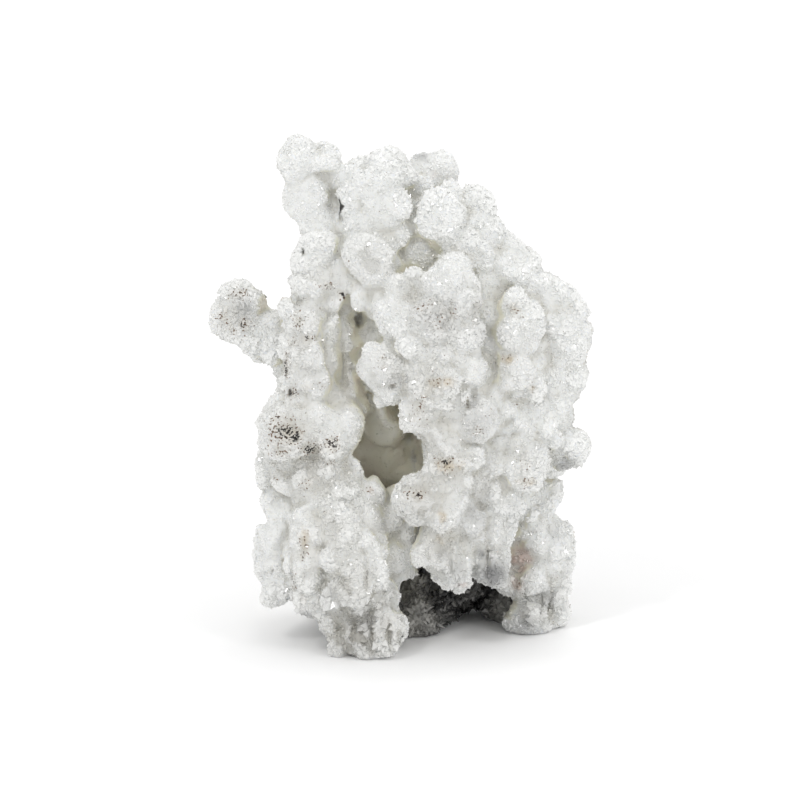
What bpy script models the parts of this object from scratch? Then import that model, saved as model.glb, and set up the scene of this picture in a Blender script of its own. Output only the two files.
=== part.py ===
# A hand-sized cluster of white cave aragonite: stubby, knobbly fingers that grew together into
# one mass, standing on a small piece of dark grey rock. Sizes are in millimetres until a point
# is placed. The frame is +Z up, with the viewer on the -Y side and the origin under the middle.

import math
import random

import bmesh
import bpy
from mathutils import Matrix, Vector

MM = 0.001

# How the knobs are placed. Each one is (across, up, toward, radius): across and up as seen by
# someone looking down on the cluster at LOOK_DOWN, and toward them from the middle plane.
LOOK_DOWN = math.radians(12)

# Surface and mesh sizes.
BALL_SUBDIVISIONS = 2
BALL_STEP = 0.3             # from one ball of a finger to the next, in radii
PINCH = 0.10                # how much a finger narrows between two knobs
GRAIN_COAT = 0.3            # the coat of fine grains outside the solid, which the seen outline has
CRUST_VOXEL = 1.2           # cell in which the knobs are fused
CRUST_SMOOTHING = 2         # rounds of smoothing after that
NODULE_SPACING = 9.0        # low nodules that cover every knob
NODULE_HEIGHT = 1.2
CRUST_TRIANGLES = 7900
ROCK_GAP = 0.5              # clearance between the crystal crust and the rock it grew on

# The ground that both pieces are cut off on, as a block larger than the cluster.
GROUND_HALF_WIDTH = 100
GROUND_DEPTH = 40

# The fingers that the viewer sees, from the top down.
FRONT_GROWTHS = {
    "upper left finger": [(-19.6, 98, -2, 6), (-20.8, 104, -1, 5.2), (-22.8, 111, 0, 5.6),
                          (-24.8, 118, 0, 6.1)],
    "upper left spur": [(-22, 112, 0, 5.6), (-19.4, 117, 0, 4.8), (-17.4, 120.8, 0, 2.4)],
    "top column": [(-6.5, 99, 0, 9.4), (-6.6, 106, 1, 9.4), (-7, 111.4, 1, 8.4)],
    "top column left bud": [(-14.8, 112.6, -1, 3.4), (-11, 114.5, 0, 4), (-10, 117.4, 0, 2.6)],
    "top column right bud": [(-4.5, 113, 1, 5.6), (-4.2, 116.8, 1, 4), (-1.4, 115, 0, 3.8)],
    "rear tip": [(11, 103, -9, 8), (8.2, 111.4, -8, 6.6), (6.8, 116.6, -8, 4.6)],
    "rear saddle": [(1.8, 111, -7, 4.6), (2, 106, -8, 6.4), (-12, 108, -6, 5), (-16, 104, -7, 4.4),
                    (-16, 98, -6, 6)],
    "right dome": [(9.6, 103.8, 5, 7), (14, 97, 3, 8)],
    "right shoulder": [(17.9, 104.8, 0, 6.8), (18.5, 97, 0, 8.6), (20, 88, -1, 8)],
    "front knob": [(-6.5, 94, 9, 6.8), (-7, 86.5, 6, 5.4)],
    "left shoulder": [(-18, 100, 3, 5.6), (-20.2, 94.6, 6, 6.6), (-19.6, 88, 7, 5.6), (-19.6, 82.5, 6, 5.2)],
    "left column": [(-24.4, 79, 9, 5.2), (-24.4, 71, 10, 5), (-24.4, 64, 11, 5), (-23.5, 58, 12, 5.5)],
    "left arm": [(-24, 69.6, -2, 8.4), (-31, 74.2, -3, 8), (-36.2, 76.9, -3, 6.2), (-43, 79, -3, 5)],
    "left arm bud": [(-38.6, 79, -3, 5.2), (-40, 83.8, -3, 5.7)],
    "speckled knob": [(-28, 50.4, 13, 8)],
    "speckled buds": [(-20.4, 52.6, 14, 5.6), (-17.2, 47.2, 15, 4.8), (-13.4, 51, 11, 4.4)],
    "left bulge": [(-29.2, 56, 6, 4.6), (-32, 42, 6, 4.9)],
    "left waist": [(-29.6, 44, 10, 5), (-24, 40, 14, 5.6), (-17.6, 42.6, 15, 4.8), (-14, 37.6, 15, 5)],
    "left waist bud": [(-21, 35.6, 15, 5), (-9.4, 29.6, 14, 5)],
    "inner ribs": [(-17, 77, 4, 5.6), (-17, 68, 4, 5.4), (-15.6, 58.4, 8, 5)],
    "pale rib": [(-12, 74, 1, 4.6), (-12, 66, 2, 4.6), (-13, 58, 5, 4.6)],
    "cave knob": [(-6, 63, -6, 5.6), (-4.6, 53.5, -3, 5)],
    "low bud": [(-8.2, 35.6, 14, 4.2)],
    "lobe left flank": [(-28.8, 30.8, 9, 5.2), (-30.4, 25, 9, 5.4), (-31.2, 18, 9, 5.4),
                        (-28.8, 12, 9, 4.6)],
    "lobe left points": [(-32, 16, 8, 3.4), (-34.4, 16.4, 8, 2.4)],
    "lobe slab": [(-24, 27, 19, 4.6), (-24.4, 19, 20, 4.4), (-22.6, 11, 20, 4.6), (-18, 6.5, 20, 4.8)],
    "lobe crown": [(-16, 29, 17, 7.4), (-13.6, 20.4, 20, 7)],
    "lobe front": [(-12.6, 18, 23, 5.4), (-12.4, 13, 24, 5.8)],
    "lobe right ridge": [(-7, 26, 17, 4), (-6.4, 18.4, 20, 3.8), (-5, 10, 18, 4.4)],
    "lobe foot": [(-14.2, 0.2, 19, 5), (-9.4, -0.4, 21, 5.2), (-5.4, -0.2, 20, 4.6)],
    "lobe foot bud": [(-2.4, 3, 18, 3.2)],
    "lobe side": [(-4, 31, 9, 5), (-3, 22, 10, 5.4), (-4, 12, 10, 5)],
    "column crown": [(11, 85, 14, 8.6), (6, 79, 16, 6.8), (13.4, 79, 15, 6)],
    "column crown left": [(-1.8, 83.6, 12, 5.8), (0.4, 77, 13, 5.8)],
    "left nose": [(-3.4, 66.6, 14, 6.4), (-4.8, 61, 12, 3)],
    "column middle": [(6, 73, 15, 6.6), (7, 62.4, 18, 6.8), (5.8, 55, 17, 6.2), (10, 48, 18, 6)],
    "column middle right": [(14, 74, 15, 6.4), (14, 65, 15, 5.6), (12.6, 56, 17, 5.4)],
    "column bud": [(17, 65.4, 14, 5)],
    "grey knob": [(18, 55.4, 15, 6.4)],
    "stained knob": [(12.4, 42.6, 19, 6), (5.8, 35, 18, 6.8)],
    "column lower": [(20, 43, 13, 6.4), (12, 31, 18, 6.6), (8.8, 22.6, 18, 6), (13.6, 16.2, 16, 4.8)],
    "column hollow knob": [(18.8, 29.6, 15, 5), (17, 23, 14, 5)],
    "column tail": [(25.4, 33.4, 12, 4.8), (24.6, 25.4, 11, 4.2), (22.8, 18, 11, 5.2)],
    "right rib": [(28.5, 78, 8, 7), (28.2, 67, 9, 6.8)],
    "right rib bud": [(24, 61.6, 11, 3.4)],
    "right fold": [(28.2, 91.8, 1, 7.2), (34.4, 85, 2, 6.4), (38, 82.6, 0, 8)],
    "right wall": [(38.8, 79.6, 0, 8.4), (40.2, 73, 1, 8.4), (39.2, 65.6, 1, 8.6), (37.4, 58, 2, 7.8)],
    "right wall foot": [(33, 51.4, 7, 6.6), (37, 48, 2, 6.4)],
    "right ear": [(40.2, 46.6, 1, 3.8), (41.2, 43.9, 1, 3)],
    "round knob": [(30.4, 43.6, 11, 6.4)],
    "right leg": [(33.6, 36, -1, 6), (35.2, 27.6, -2, 6.2), (36.8, 18.4, -4, 6.4), (36.8, 8, -8.6, 7)],
    "right leg buds": [(32.6, 13, 1, 3.4), (31.4, 6, -2, 3.6), (30.6, 3.6, -3, 4.4), (38.6, 13.6, -2, 4)],
}

# The body of the mass behind those fingers, which shows only in the valleys between them.
CORE_GROWTHS = {
    "left core": [(-17, 97, 0, 7), (-19, 86, 2, 8), (-19, 75, 2, 8), (-20, 64, 3, 8.6), (-23, 54, 5, 9.4),
                  (-24, 44, 6, 9.4), (-21, 34, 9, 10), (-19, 24, 12, 11), (-17, 14, 13, 9.4),
                  (-13, 6, 15, 8)],
    "top core": [(-5, 97, -2, 8.4), (-3, 86, 2, 8.6), (0, 76, 0, 8.6), (0, 66, 1, 8)],
    "centre core": [(13, 92, 0, 7.4), (11, 82, 6, 8.6), (10, 72, 7, 9.4), (11, 61, 8, 9), (12, 50, 9, 7.6),
                    (13, 40, 9, 8), (13, 30, 9, 7.6), (15, 22, 9, 6)],
    "right core": [(23, 91, 0, 8), (29, 83, 0, 8.4), (31, 74, 2, 9), (31, 64, 3, 9), (30, 54, 4, 9),
                   (28, 44, 4, 8.4), (30, 34, 0, 7)],
    "right saddle": [(20, 70, 6, 6), (21, 60, 7, 7), (22, 50, 8, 7), (22, 40, 6, 7)],
}

# The hidden inside and the back, guessed: three broad columns round a trunk.
BACK_GROWTHS = {
    "trunk": [(15, 24, -9, 12), (15, 42, -9, 13), (14, 60, -9, 14), (12, 78, -8, 13), (9, 92, -8, 10)],
    "left trunk": [(-6, 20, -10, 10), (-6, 36, -15, 9), (-5, 52, -15, 9), (-4, 70, -10, 10),
                   (-5, 88, -6, 10)],
    "back left column": [(-15, 6, -15, 8), (-19, 26, -14, 10), (-18, 44, -16, 10.6), (-14, 62, -17, 11),
                         (-11, 80, -13, 9.6), (-9, 95, -9, 8.4)],
    "back middle column": [(6, 34, -25, 8), (3, 50, -28, 9), (3, 66, -28, 9), (3, 82, -24, 9),
                           (4, 97, -17, 8)],
    "back right column": [(31, 9.4, -16, 8), (28, 30, -17, 9), (31, 46, -18, 9.6), (33, 62, -16, 10.4),
                          (30, 78, -13, 10), (21, 92, -11, 9)],
    "left root": [(-24, 32, -1, 9), (-25, 22, 0, 8.4), (-24, 14, 1, 6.6)],
}

# Short buds that sprout from the hidden columns, so that the back is as knobbly as the front.
BUDS_PER_KNOB = 8
BUD_SIZE = (0.38, 0.60)     # radius of a bud against its knob's
BUD_REACH = 0.82            # how far out its middle sits, in knob radii
BUD_TURN = (math.radians(35), math.radians(145))
BUD_RISE = (-0.6, 0.85)
BUD_SEED = 11

# The rock, as angular lumps: (x, toward, z, radius).
ROCK_LUMPS = [
    (4, -1, 4, 8), (-3, -9, 6, 9.4), (8, -9, 8, 9.6), (-9, -19, 4, 8), (2, -21, 7, 10),
    (16, -20, 9, 9.4), (28, -12.5, 4, 7), (22, -22, 8, 8.6), (15, -8, 12, 7),
]
ROCK_SEED = 5
LUMP_SUBDIVISIONS = 1
ROCK_VOXEL = 1.0
ROCK_SMOOTHING = 1
ROCK_PATCH = 7.0            # size and height of the broken patches on the rock
ROCK_ROUGHNESS = 3.0
ROCK_TRIANGLES = 1000

# Colours, linear, with roughness.
ARAGONITE = (0.86, 0.86, 0.83, 0.45)
GREY_ROCK = (0.11, 0.11, 0.105, 0.7)


def seen_at(across, up, toward):
    """The point that the viewer sees at (across, up), this far in front of the middle plane."""
    height = (up + toward * math.sin(LOOK_DOWN)) / math.cos(LOOK_DOWN)
    return Vector((across, -toward, height)) * MM


def add_ball(bm, middle, radius):
    place = Matrix.Translation(middle)
    bmesh.ops.create_icosphere(bm, subdivisions=BALL_SUBDIVISIONS, radius=radius * MM, matrix=place)


def add_finger(bm, knobs):
    """A finger is its knobs, joined by a row of balls that is pinched between them."""
    places = [(seen_at(*knob[:3]), knob[3] - GRAIN_COAT) for knob in knobs]
    add_ball(bm, *places[0])
    for (start, r0), (end, r1) in zip(places, places[1:]):
        steps = math.ceil((end - start).length / MM / (BALL_STEP * min(r0, r1)))
        for step in range(1, steps + 1):
            t = step / steps
            radius = (r0 + (r1 - r0) * t) * (1 - PINCH * math.sin(math.pi * t))
            add_ball(bm, start.lerp(end, t), radius)


def add_buds(bm, knobs, rng):
    """Buds sprout from a hidden knob in random directions, level or upward, never forward."""
    for across, up, toward, radius in knobs:
        middle = seen_at(across, up, toward)
        for _ in range(BUDS_PER_KNOB):
            turn = rng.uniform(*BUD_TURN)
            rise = rng.uniform(*BUD_RISE)
            flat = math.sqrt(1 - rise * rise)
            way = Vector((math.cos(turn) * flat, math.sin(turn) * flat, rise))
            bud = radius * rng.uniform(*BUD_SIZE)
            add_ball(bm, middle + way * radius * BUD_REACH * MM, bud)


def new_object(name, bm):
    mesh = bpy.data.meshes.new(name)
    bm.to_mesh(mesh)
    bm.free()
    thing = bpy.data.objects.new(name, mesh)
    bpy.context.scene.collection.objects.link(thing)
    return thing


def new_material(name, red, green, blue, roughness):
    material = bpy.data.materials.new(name)
    material.use_nodes = True
    shader = material.node_tree.nodes["Principled BSDF"]
    shader.inputs["Base Color"].default_value = (red, green, blue, 1)
    shader.inputs["Roughness"].default_value = roughness
    material.diffuse_color = (red, green, blue, 1)
    return material


def evaluated(thing):
    """The object's mesh with its modifiers applied, as a new mesh."""
    graph = bpy.context.evaluated_depsgraph_get()
    return bpy.data.meshes.new_from_object(thing.evaluated_get(graph))


def apply_modifiers(thing):
    mesh = evaluated(thing)
    thing.modifiers.clear()
    thing.data = mesh


def fuse(thing, cell, smoothing):
    """Joins overlapping shapes into one closed skin."""
    remesh = thing.modifiers.new("fuse", "REMESH")
    remesh.mode = "VOXEL"
    remesh.voxel_size = cell * MM
    smooth = thing.modifiers.new("soften", "SMOOTH")
    smooth.iterations = smoothing


def roughen(thing, kind, spacing, height):
    """Raises the skin by a texture: CLOUDS gives broken ground, VORONOI turned over round nodules."""
    texture = bpy.data.textures.new(kind.lower(), kind)
    texture.noise_scale = spacing * MM
    displace = thing.modifiers.new(kind.lower(), "DISPLACE")
    displace.texture = texture
    displace.mid_level = 0.5
    displace.strength = height * MM


def thin_to(thing, triangles):
    count = sum(len(face.vertices) - 2 for face in evaluated(thing).polygons)
    decimate = thing.modifiers.new("thin", "DECIMATE")
    decimate.ratio = triangles / count


def cut(thing, cutter):
    cutter.hide_render = True
    cutter.display_type = "WIRE"
    boolean = thing.modifiers.new("cut by " + cutter.name, "BOOLEAN")
    boolean.operation = "DIFFERENCE"
    boolean.object = cutter


def keep_largest_body(thing):
    """Removes the loose chips that a cut leaves."""
    bm = bmesh.new()
    bm.from_mesh(thing.data)
    unseen = set(bm.verts)
    bodies = []
    while unseen:
        body, edge = set(), [unseen.pop()]
        while edge:
            vert = edge.pop()
            body.add(vert)
            near = {e.other_vert(vert) for e in vert.link_edges} & unseen
            unseen -= near
            edge.extend(near)
        bodies.append(body)
    bodies.sort(key=len)
    chips = [vert for body in bodies[:-1] for vert in body]
    bmesh.ops.delete(bm, geom=chips, context="VERTS")
    bm.to_mesh(thing.data)
    bm.free()


def make_ground():
    """A block whose top is the level that the cluster stands on."""
    bm = bmesh.new()
    size = Matrix.Diagonal((2 * GROUND_HALF_WIDTH * MM, 2 * GROUND_HALF_WIDTH * MM, GROUND_DEPTH * MM, 1))
    place = Matrix.Translation((0, 0, -GROUND_DEPTH * MM / 2))
    bmesh.ops.create_cube(bm, size=1, matrix=place @ size)
    return new_object("ground", bm)


def make_crust():
    """The white mass: every finger and bud, fused into one knobbly solid."""
    bm = bmesh.new()
    rng = random.Random(BUD_SEED)
    for knobs in [*FRONT_GROWTHS.values(), *CORE_GROWTHS.values()]:
        add_finger(bm, knobs)
    for knobs in BACK_GROWTHS.values():
        add_finger(bm, knobs)
        add_buds(bm, knobs, rng)
    crust = new_object("aragonite_crust", bm)
    fuse(crust, CRUST_VOXEL, CRUST_SMOOTHING)
    roughen(crust, "VORONOI", NODULE_SPACING, -NODULE_HEIGHT)
    thin_to(crust, CRUST_TRIANGLES)
    return crust


def make_rock():
    """The piece of host rock: angular lumps, turned at random and broken all over."""
    bm = bmesh.new()
    rng = random.Random(ROCK_SEED)
    for x, toward, z, radius in ROCK_LUMPS:
        turn = Matrix.Rotation(rng.uniform(0, math.pi), 4, Vector((rng.random(), rng.random(), 1)))
        place = Matrix.Translation(Vector((x, -toward, z)) * MM) @ turn
        bmesh.ops.create_icosphere(bm, subdivisions=LUMP_SUBDIVISIONS, radius=radius * MM, matrix=place)
    rock = new_object("matrix_rock", bm)
    fuse(rock, ROCK_VOXEL, ROCK_SMOOTHING)
    roughen(rock, "CLOUDS", ROCK_PATCH, ROCK_ROUGHNESS)
    thin_to(rock, ROCK_TRIANGLES)
    return rock


def make_socket(rock):
    """The rock swollen by the gap: what the crust is cut back to."""
    socket = rock.copy()
    socket.data = rock.data.copy()
    socket.name = "rock socket"
    bpy.context.scene.collection.objects.link(socket)
    swell = socket.modifiers.new("swell", "DISPLACE")
    swell.mid_level = 0
    swell.strength = ROCK_GAP * MM
    return socket


def centre(things):
    """Moves everything so that the origin is under the middle of the bounding box."""
    corners = [vert.co for thing in things for vert in thing.data.vertices]
    low = Vector([min(c[i] for c in corners) for i in range(3)])
    high = Vector([max(c[i] for c in corners) for i in range(3)])
    shift = Vector((-(low.x + high.x) / 2, -(low.y + high.y) / 2, -low.z))
    for thing in things:
        thing.data.transform(Matrix.Translation(shift))


def main():
    for thing in list(bpy.data.objects):
        bpy.data.objects.remove(thing)
    crust = make_crust()
    rock = make_rock()
    ground = make_ground()
    cut(rock, ground)
    apply_modifiers(rock)
    keep_largest_body(rock)
    cut(crust, ground)
    cut(crust, make_socket(rock))
    apply_modifiers(crust)
    keep_largest_body(crust)
    crust.data.materials.append(new_material("aragonite", *ARAGONITE))
    rock.data.materials.append(new_material("grey rock", *GREY_ROCK))
    centre([crust, rock])


main()
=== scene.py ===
# Cave aragonite cluster on grey rock, the rock's dark partly painted shade: the looks, built round
# the imported model.
# Lengths in the dictionaries are in millimetres unless a note says otherwise.
import itertools
import math
import bmesh
import bpy
import numpy as np
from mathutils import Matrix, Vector


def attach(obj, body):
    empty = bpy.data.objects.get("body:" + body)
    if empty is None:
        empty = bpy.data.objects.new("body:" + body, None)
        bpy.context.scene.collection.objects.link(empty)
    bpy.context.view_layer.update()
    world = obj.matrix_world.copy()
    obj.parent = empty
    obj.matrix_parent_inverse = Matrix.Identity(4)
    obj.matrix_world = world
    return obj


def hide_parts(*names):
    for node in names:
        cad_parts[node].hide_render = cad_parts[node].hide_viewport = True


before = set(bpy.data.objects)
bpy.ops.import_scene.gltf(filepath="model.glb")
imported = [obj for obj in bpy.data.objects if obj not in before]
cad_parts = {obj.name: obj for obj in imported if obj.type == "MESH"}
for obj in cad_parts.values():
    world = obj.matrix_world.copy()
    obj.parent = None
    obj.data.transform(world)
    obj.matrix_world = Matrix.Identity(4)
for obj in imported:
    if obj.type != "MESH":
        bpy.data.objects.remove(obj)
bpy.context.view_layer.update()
mm = 0.001
tiny = 1e-12  # keeps a division by nought away
print("frame loaded")


# How the photograph looks at the cluster. Features are placed by (across, up) as they show in
# it, in millimetres from the point of the floor below the middle of the picture.
photoView = {
    "lookDown": math.radians(12),
    "middle": (-0.4, -4.8),  # where that point is in the frame, x and y
    "pictureCentreUp": 59,  # height of the picture's centre on the same scale
    "distance": 1000,
    "lens": 180,  # with this sensor, a quarter of a millimetre a pixel
    "sensor": 36,
    "clipStart": 0.05,  # metres
}
viewSin = math.sin(photoView["lookDown"])
viewCos = math.cos(photoView["lookDown"])
rightWay = np.array([1.0, 0, 0])
upWay = np.array([0, viewSin, viewCos])
nearWay = np.array([0, -viewCos, viewSin])
aim = np.array([*photoView["middle"], photoView["pictureCentreUp"] / viewCos])


def asSeen(points):
    # Where points show in the picture, as columns across and up, and how near they are: each
    # offset from the aim point along the view's three axes, the first two widened with nearness.
    offset = points / mm - aim
    near = offset @ nearWay
    widen = photoView["distance"] / (photoView["distance"] - near)
    up = photoView["pictureCentreUp"] + offset @ upWay * widen
    return np.stack([offset @ rightWay * widen, up, near], 1)


def seenAt(across, up, near):
    # The same the other way round, for arrays of places, in metres.
    shrink = (photoView["distance"] - near) / photoView["distance"]
    height = (up - photoView["pictureCentreUp"]) * shrink
    offset = np.multiply.outer(across * shrink, rightWay) + np.multiply.outer(height, upWay)
    return (aim + offset + np.multiply.outer(near, nearWay)) * mm


def frontAt(seen, across, up, reach=1.3):
    # How near the foremost surface is at a place of the picture.
    close = (np.abs(seen[:, 0] - across) < reach) & (np.abs(seen[:, 1] - up) < reach)
    return seen[close, 2].max() if close.any() else None


# Noise on points, as whole arrays. Everything random comes from a seed.
def cellNumbers(cell, seed):
    # Three numbers from 0 to 1 for each whole-numbered cell: its coordinates are mixed as bits.
    x, y, z = cell[..., 0], cell[..., 1], cell[..., 2]
    n = x * 73856093 ^ y * 19349663 ^ z * 83492791 ^ seed * 668265263
    n = (n & 0xFFFFFFFF).astype(np.uint32)
    columns = []
    for _ in range(3):
        n = (n ^ (n >> 15)) * np.uint32(2246822519)
        n = (n ^ (n >> 13)) * np.uint32(3266489917)
        n = n ^ (n >> 16)
        columns.append(n / np.float32(4294967295))
    return np.stack(columns, -1)


def cellsRound(points, spacing, seed):
    # The 27 lattice cells in and round each point's own, one after the other, each with the way
    # to the point from that cell's own jittered point, in spacings.
    q = points / (spacing * mm)
    home = np.floor(q).astype(np.int64)
    for shift in itertools.product((-1, 0, 1), repeat=3):
        cell = home + shift
        yield cell, q - cell - cellNumbers(cell, seed)


def domes(points, spacing, seed):
    # One dome in each cell: 1 at its jittered point, falling with the square of the distance, and
    # 0 a full spacing away.
    nearest = np.full(len(points), np.inf)
    for _, offset in cellsRound(points, spacing, seed):
        nearest = np.minimum(nearest, (offset ** 2).sum(1))
    return np.clip(1 - nearest, 0, 1)


def chips(points, spacing, seed, slope=1.6, step=0.35):
    # The same lattice cut into flat chips. Round its nearest jittered point each chip is a plane
    # with a random tilt: (offset . tilt) x slope + (sum of the tilt) x step.
    tiltSeed = seed + 50
    nearest = np.full(len(points), np.inf)
    height = np.zeros(len(points))
    for cell, offset in cellsRound(points, spacing, seed):
        tilt = cellNumbers(cell, tiltSeed) - 0.5
        away = (offset ** 2).sum(1)
        closer = away < nearest
        nearest[closer] = away[closer]
        height[closer] = ((offset * tilt).sum(1) * slope + tilt.sum(1) * step)[closer]
    return height


def clouds(points, spacing, seed):
    # Smooth noise from 0 to 1: a random value at each lattice corner, blended along eased steps.
    q = points / (spacing * mm)
    home = np.floor(q).astype(np.int64)
    part = q - home
    part = part * part * (3 - 2 * part)
    total = np.zeros(len(q))
    for corner in itertools.product((0, 1), repeat=3):
        share = np.abs(1 - np.array(corner) - part).prod(1)
        total += cellNumbers(home + corner, seed)[:, 0] * share
    return total


def roughClouds(points, spacing, seed, share=0.65, smaller=0.3):
    # Clouds with a share of smaller ones mixed in, for ragged edges.
    fine = clouds(points, spacing * smaller, seed + 10)
    return share * clouds(points, spacing, seed) + (1 - share) * fine


def wander(points, spacing, seed):
    # A smooth vector at each point, between -1 and 1 in every direction.
    return np.stack([clouds(points, spacing, seed + k) for k in range(3)], 1) * 2 - 1


def eased(value, low, high):
    # 0 below low, 1 above high, smooth between.
    t = np.clip((value - low) / (high - low), 0, 1)
    return t * t * (3 - 2 * t)


def unit(vectors):
    return vectors / (np.linalg.norm(vectors, axis=1)[:, None] + tiny)


# Meshes to arrays and back.
def vertexArrays(mesh):
    points = np.zeros(len(mesh.vertices) * 3, np.float32)
    normals = np.zeros(len(mesh.vertices) * 3, np.float32)
    mesh.vertices.foreach_get("co", points)
    mesh.vertex_normals.foreach_get("vector", normals)
    return points.reshape(-1, 3).astype(float), normals.reshape(-1, 3).astype(float)


def triangleArray(mesh):
    mesh.calc_loop_triangles()
    corners = np.zeros(len(mesh.loop_triangles) * 3, np.int32)
    mesh.loop_triangles.foreach_get("vertices", corners)
    return corners.reshape(-1, 3)


def meshFrom(name, points, triangles):
    mesh = bpy.data.meshes.new(name)
    mesh.vertices.add(len(points))
    mesh.vertices.foreach_set("co", points.astype(np.float32).ravel())
    mesh.loops.add(len(triangles) * 3)
    mesh.loops.foreach_set("vertex_index", triangles.astype(np.int32).ravel())
    mesh.polygons.add(len(triangles))
    mesh.polygons.foreach_set("loop_start", np.arange(len(triangles), dtype=np.int32) * 3)
    mesh.update(calc_edges=True)
    mesh.validate()
    return mesh


def setFields(mesh, fields):
    # Each field is one number a vertex, which the material reads by its name.
    for name, values in fields.items():
        layer = mesh.attributes.new(name, "FLOAT", "POINT")
        layer.data.foreach_set("value", values.astype(np.float32))


def newPiece(name, mesh, material):
    piece = bpy.data.objects.new(name, mesh)
    bpy.context.scene.collection.objects.link(piece)
    mesh.materials.clear()
    mesh.materials.append(material)
    return piece


def worked(mesh, *modifiers):
    # The mesh after modifiers, each given as its type and its settings.
    helper = bpy.data.objects.new("helper", mesh)
    bpy.context.scene.collection.objects.link(helper)
    for kind, settings in modifiers:
        modifier = helper.modifiers.new(kind, kind)
        for name, value in settings.items():
            setattr(modifier, name, value)
    graph = bpy.context.evaluated_depsgraph_get()
    result = bpy.data.meshes.new_from_object(helper.evaluated_get(graph))
    bpy.data.objects.remove(helper)
    return result


def netted(mesh, cell, rounding):
    # One skin round whatever overlaps, on an even net of small squares, a little softened.
    remesh = ("REMESH", {"mode": "VOXEL", "voxel_size": cell * mm})
    return worked(mesh, remesh, ("SMOOTH", {"factor": 0.5, "iterations": rounding}))


def thinned(mesh, triangles):
    return worked(mesh, ("DECIMATE", {"ratio": min(1, triangles / len(triangleArray(mesh)))}))


def nodeMesh(node):
    # A copy of a CAD node's mesh with its loose triangles joined.
    bm = bmesh.new()
    bm.from_mesh(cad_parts[node].data)
    bmesh.ops.remove_doubles(bm, verts=bm.verts, dist=1e-6)
    mesh = bpy.data.meshes.new(node + " copy")
    bm.to_mesh(mesh)
    bm.free()
    return mesh


def outerShell(points, triangles):
    # Leaves out the skins of sealed bubbles. Each vertex takes the lowest number found on its
    # triangles, again and again; the largest group with one number is the outer skin.
    label = np.arange(len(points))
    while True:
        lower = label.copy()
        np.minimum.at(lower, triangles.ravel(), np.repeat(label[triangles].min(1), 3))
        lower = lower[lower]
        if (lower == label).all():
            break
        label = lower
    keep = label == np.bincount(label).argmax()
    number = np.cumsum(keep) - 1
    return points[keep], number[triangles[keep[triangles[:, 0]]]]


def faceSamples(mesh):
    # Centres, normals and areas of the triangles, as samples of the whole surface.
    points, _ = vertexArrays(mesh)
    a, b, c = (points[triangleArray(mesh)[:, k]] for k in range(3))
    cross = np.cross(b - a, c - a)
    area = np.linalg.norm(cross, axis=1) / 2
    return (a + b + c) / 3, cross / (2 * area[:, None] + tiny), area


def shelter(points, normals, samples):
    # How much of each point's outlook the rest of the surface fills: the sum over samples of
    # area x both cosines / (pi x distance squared + area), from 0 to 1.
    places, facing, area = samples
    result = np.zeros(len(points))
    step = 2000  # points at a time
    for start in range(0, len(points), step):
        here = slice(start, start + step)
        way = places[None] - points[here, None]
        far = (way ** 2).sum(2)
        out = np.einsum("ijk,ik->ij", way, normals[here])
        back = -np.einsum("ijk,jk->ij", way, facing)
        seen = np.clip(out, 0, None) * np.clip(back, 0, None) * area / (far + tiny)
        result[here] = (seen / (math.pi * far + area)).sum(1)
    return np.clip(result, 0, 1)


def bulge(points, normals, triangles, rounds):
    # How far each point stands out of its surroundings, in millimetres: its height along its
    # normal over the surface smoothed by repeated averages of neighbours.
    edges = np.concatenate([triangles[:, pair] for pair in ([0, 1], [1, 2], [2, 0])])
    start, end = edges.T
    count = np.bincount(start, minlength=len(points))[:, None]
    smooth = points
    for _ in range(rounds):
        sums = [np.bincount(start, smooth[end, k], len(points)) for k in range(3)]
        total = np.stack(sums, 1)
        smooth = (smooth + total / count) / 2
    return ((points - smooth) * normals).sum(1) / mm


# Shader expressions: a socket with Python's operators, and one method for any other node.
class Wire:
    def __init__(self, graph, socket):
        self.graph = graph
        self.socket = socket

    def math(self, operation, *values):
        settings = {"operation": operation}
        return self.graph.node("ShaderNodeMath", settings, dict(enumerate(values)))

    def __add__(self, other):
        return self.math("ADD", self, other)

    __radd__ = __add__

    def __mul__(self, other):
        return self.math("MULTIPLY", self, other)

    __rmul__ = __mul__


class Graph:
    def __init__(self, owner, shader="Principled BSDF", place="Object"):
        owner.use_nodes = True
        self.owner = owner
        self.tree = owner.node_tree
        self.shader = self.tree.nodes[shader]
        self.place = self.node("ShaderNodeTexCoord", output=place)

    def node(self, kind, settings=None, inputs=None, output=0):
        made = self.tree.nodes.new(kind)
        for name, value in (settings or {}).items():
            setattr(made, name, value)
        for name, value in (inputs or {}).items():
            self.put(made.inputs[name], value)
        return Wire(self, made.outputs[output])

    def put(self, socket, value):
        if isinstance(value, Wire):
            self.tree.links.new(value.socket, socket)
        else:
            socket.default_value = value

    def feed(self, **inputs):
        for name, value in inputs.items():
            self.put(self.shader.inputs[name.replace("_", " ")], value)

    def field(self, name):
        return self.node("ShaderNodeAttribute", {"attribute_name": name}, output="Fac")

    def noise(self, size, detail=2):
        # size in millimetres from one blotch to the next
        inputs = {"Vector": self.place, "Scale": 1 / (size * mm), "Detail": detail}
        return self.node("ShaderNodeTexNoise", None, inputs)

    def between(self, value, low, high):
        settings = {"interpolation_type": "SMOOTHSTEP"}
        inputs = {"Value": value, "From Min": low, "From Max": high}
        return self.node("ShaderNodeMapRange", settings, inputs)

    def blend(self, amount, first, second):
        # sockets 6 and 7 are the two colours of a colour Mix, and output 2 its result
        inputs = {0: amount, 6: first, 7: second}
        return self.node("ShaderNodeMix", {"data_type": "RGBA"}, inputs, 2)

    def relief(self, height, depth):
        inputs = {"Height": height, "Distance": depth * mm, "Strength": 1}
        return self.node("ShaderNodeBump", None, inputs)


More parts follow.
